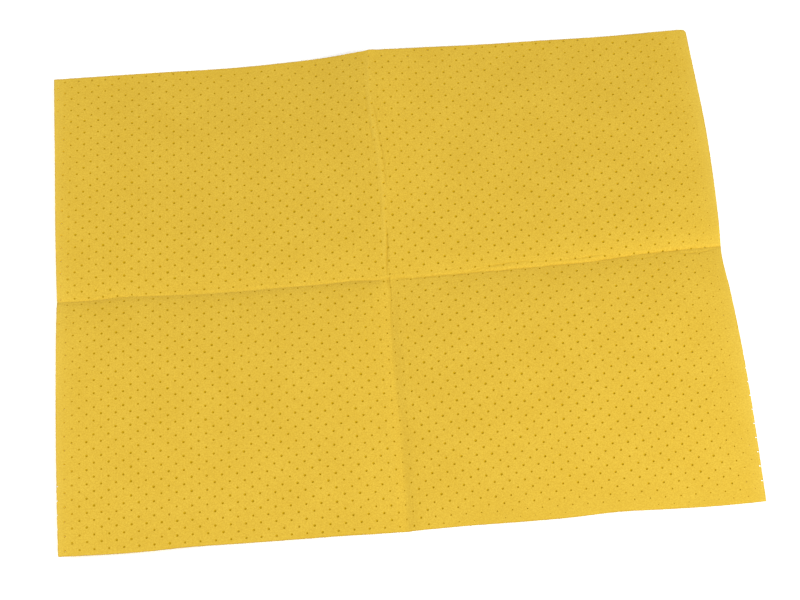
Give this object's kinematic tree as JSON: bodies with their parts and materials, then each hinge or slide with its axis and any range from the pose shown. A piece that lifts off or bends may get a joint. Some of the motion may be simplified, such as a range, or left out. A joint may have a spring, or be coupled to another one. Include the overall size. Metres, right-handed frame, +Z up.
{
  "type": "synthetic chamois cloth",
  "caption": "Rectangular yellow perforated cleaning cloth lying open, with crossed pressed creases that let its quarters fold over each other into a flat pack.",
  "frame": {"origin": "on the table, under the middle of the cloth's outline", "axes": "+X to the right along the long side and the first crease, +Y to the back along the second crease, +Z up"},
  "size_m": [0.5056, 0.4, 0.0139],
  "materials": {
    "coat": "matte latex-coated nonwoven",
    "core": "fibrous nonwoven"
  },
  "bodies": {
    "front_left": {"front_left_bottom_coat": "coat", "front_left_fibre_core": "core", "front_left_top_coat": "coat"},
    "front_right": {"front_right_bottom_coat": "coat", "front_right_fibre_core": "core", "front_right_top_coat": "coat"},
    "back_left": {"back_left_bottom_coat": "coat", "back_left_fibre_core": "core", "back_left_top_coat": "coat"},
    "back_right": {"back_right_bottom_coat": "coat", "back_right_fibre_core": "core", "back_right_top_coat": "coat"}
  },
  "joints": [
    {"name": "first_fold", "type": "hinge", "parent": "front_left", "child": "back_left", "pos_m": [-0.00125, 0, 0.0078], "axis": [1, 0, 0], "range_deg": [0, 179.9]},
    {"name": "second_fold", "type": "hinge", "parent": "front_left", "child": "front_right", "pos_m": [-0.00125, 0, 0.0159], "axis": [0, -1, 0], "range_deg": [0, 179.9]},
    {"name": "first_fold_right", "type": "hinge", "parent": "front_right", "child": "back_right", "pos_m": [-0.00125, 0, 0.0078], "axis": [1, 0, 0], "range_deg": [0, 179.9]}
  ],
  "couplings": [
    {"joint": "first_fold_right", "follows": "first_fold", "ratio": 1}
  ]
}
